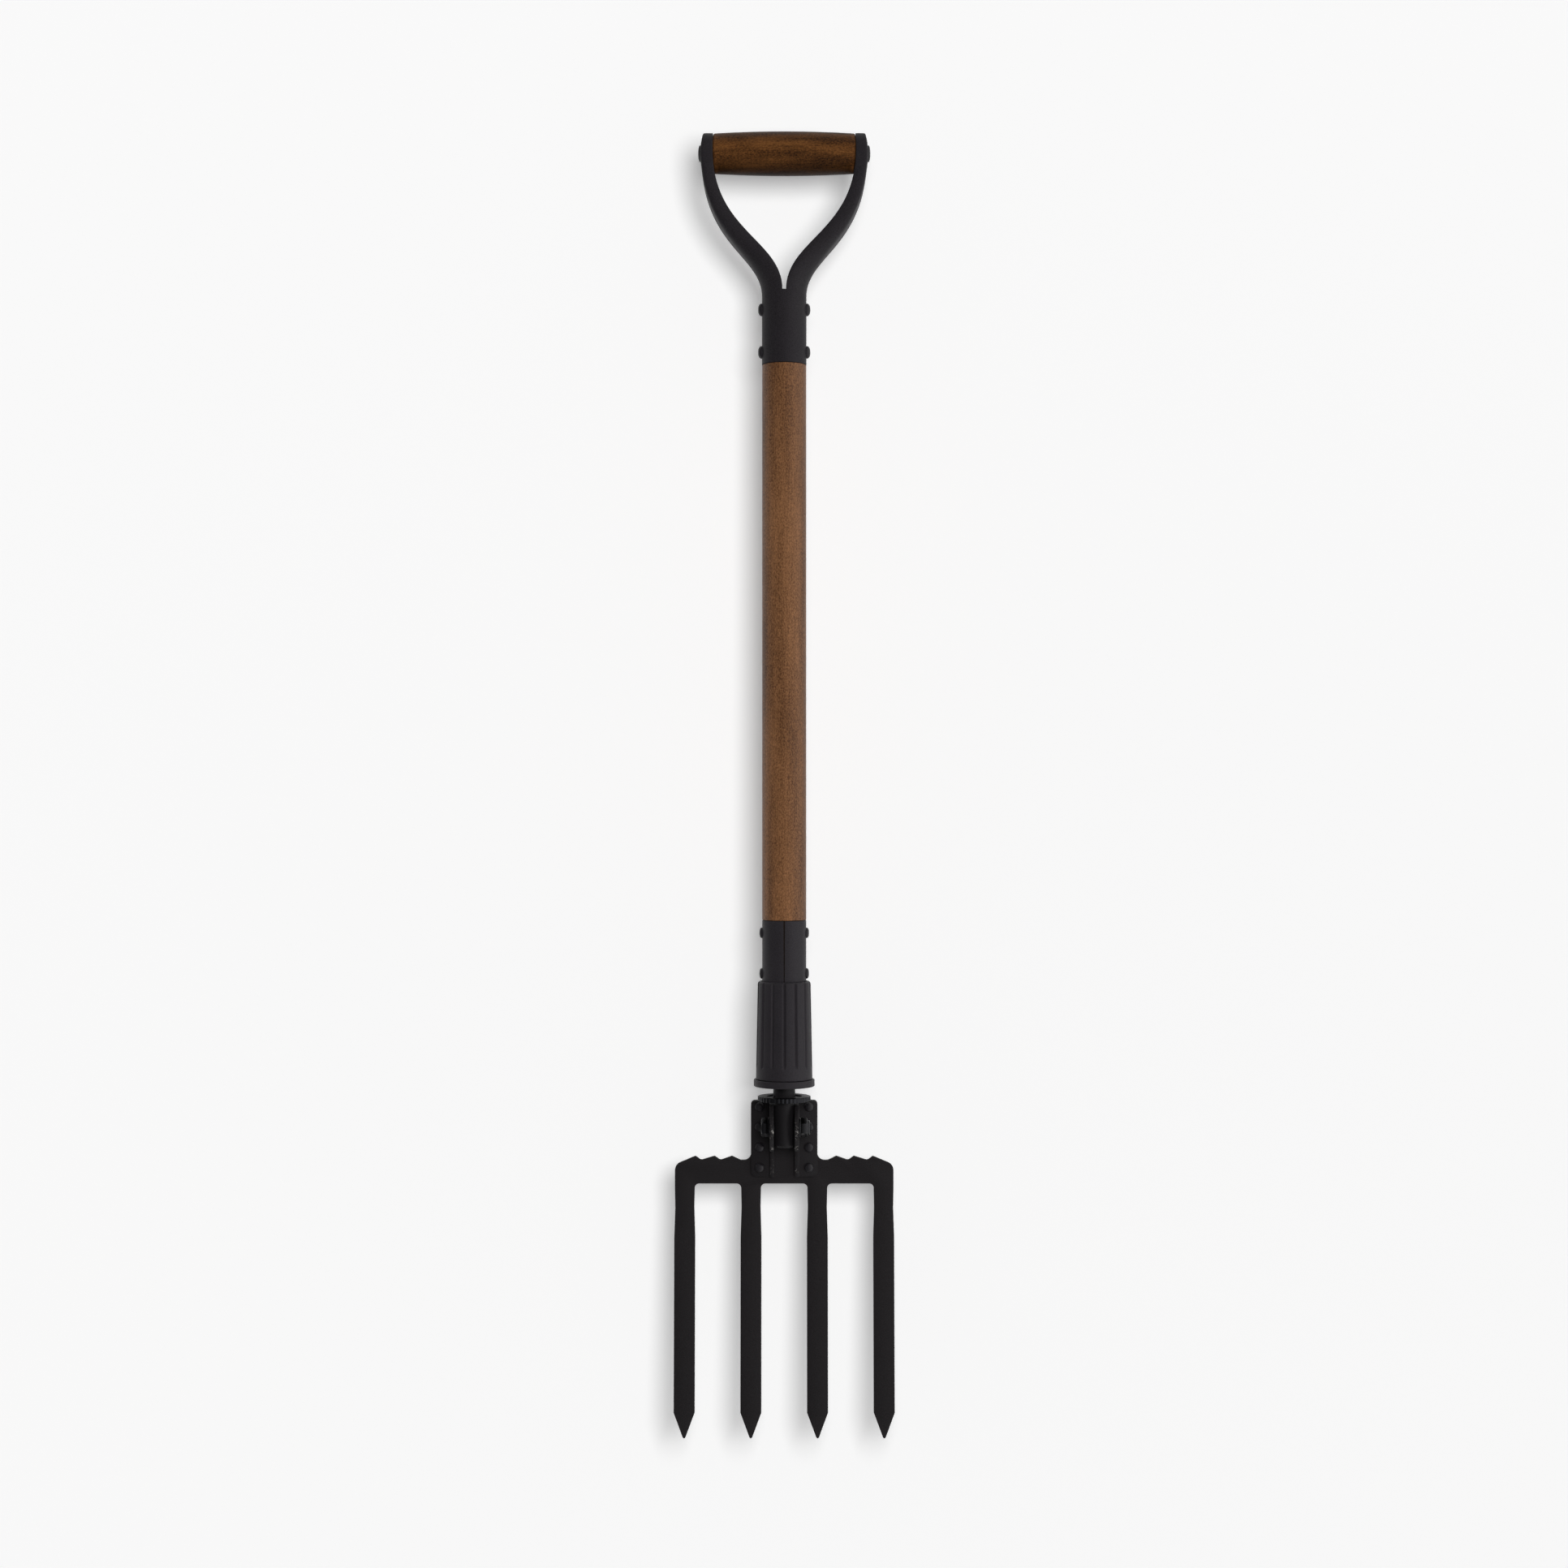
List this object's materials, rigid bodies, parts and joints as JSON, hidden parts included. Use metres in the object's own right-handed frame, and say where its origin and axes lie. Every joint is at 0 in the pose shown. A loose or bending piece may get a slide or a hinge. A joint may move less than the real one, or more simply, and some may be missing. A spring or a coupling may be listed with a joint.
{
  "type": "folding digging fork",
  "caption": "D-handled digging fork with a wooden shaft, a threaded locking collar and a flat steel fork head that folds up along the shaft.",
  "frame": {"origin": "middle of the tool's length and width, at the level of the fork plate's back, on which it lies", "axes": "+X across the tool to the nut's side of the fold, +Y along the shaft from the tines to the grip, +Z away from the surface that the tool lies on"},
  "size_m": [0.173, 1.0176, 0.0562],
  "materials": {
    "powder_coat": "fine-textured black powder coat, satin",
    "shaft_wood": "oiled brown hardwood, grain along the shaft",
    "grip_wood": "darker stained hardwood, grain along the grip",
    "dark_steel": "blackened steel with bright wear",
    "bright_steel": "zinc-plated steel",
    "bronze": "plain bearing bronze"
  },
  "bodies": {
    "handle": {"grip": "grip_wood", "grip_bolt": "powder_coat", "grip_bolt_cap": "powder_coat", "yoke": "powder_coat", "yoke_rivet_upper": "powder_coat", "yoke_rivet_lower": "powder_coat", "shaft": "shaft_wood", "lower_socket": "powder_coat", "socket_rivet_upper": "powder_coat", "socket_rivet_lower": "powder_coat", "threaded_ferrule": "bright_steel", "hinge_stem": "powder_coat", "stem_cross_pin": "bright_steel", "pivot_bush": "bronze"},
    "collar_foot": {"collar_foot_ring": "powder_coat", "collar_snap_ring": "bright_steel"},
    "collar": {"locking_collar": "powder_coat"},
    "thrust_ring": {"thrust_ring": "dark_steel"},
    "head": {"fork_plate": "powder_coat", "left_bracket": "powder_coat", "right_bracket": "powder_coat", "bracket_rivet_left_1": "powder_coat", "bracket_rivet_left_2": "powder_coat", "bracket_rivet_left_3": "powder_coat", "bracket_rivet_left_4": "powder_coat", "bracket_rivet_right_1": "powder_coat", "bracket_rivet_right_2": "powder_coat", "bracket_rivet_right_3": "powder_coat", "bracket_rivet_right_4": "powder_coat", "pivot_bolt": "dark_steel", "pivot_nut": "bright_steel", "pivot_washer_head": "bright_steel", "pivot_washer_nut": "bright_steel"}
  },
  "joints": [
    {"name": "head_fold", "type": "hinge", "parent": "handle", "child": "head", "pos_m": [0, -0.26395, 0.0325], "axis": [-1, 0, 0], "range_deg": [0, 180]},
    {"name": "collar_travel", "type": "slide", "parent": "handle", "child": "collar_foot", "axis": [0, -1, 0], "range_m": [0, 0.0108]},
    {"name": "collar_turn", "type": "hinge", "parent": "collar_foot", "child": "collar", "pos_m": [0, -0.19, 0.0325], "axis": [0, -1, 0], "range_deg": [0, 648]},
    {"name": "ring_drop", "type": "slide", "parent": "handle", "child": "thrust_ring", "axis": [0, -1, 0], "range_m": [0, 0.0031]}
  ],
  "couplings": [
    {"joint": "collar_travel", "follows": "collar_turn", "m_per_rad": 0.000954},
    {"joint": "ring_drop", "follows": "collar_turn", "m_per_rad": 0.000274}
  ]
}
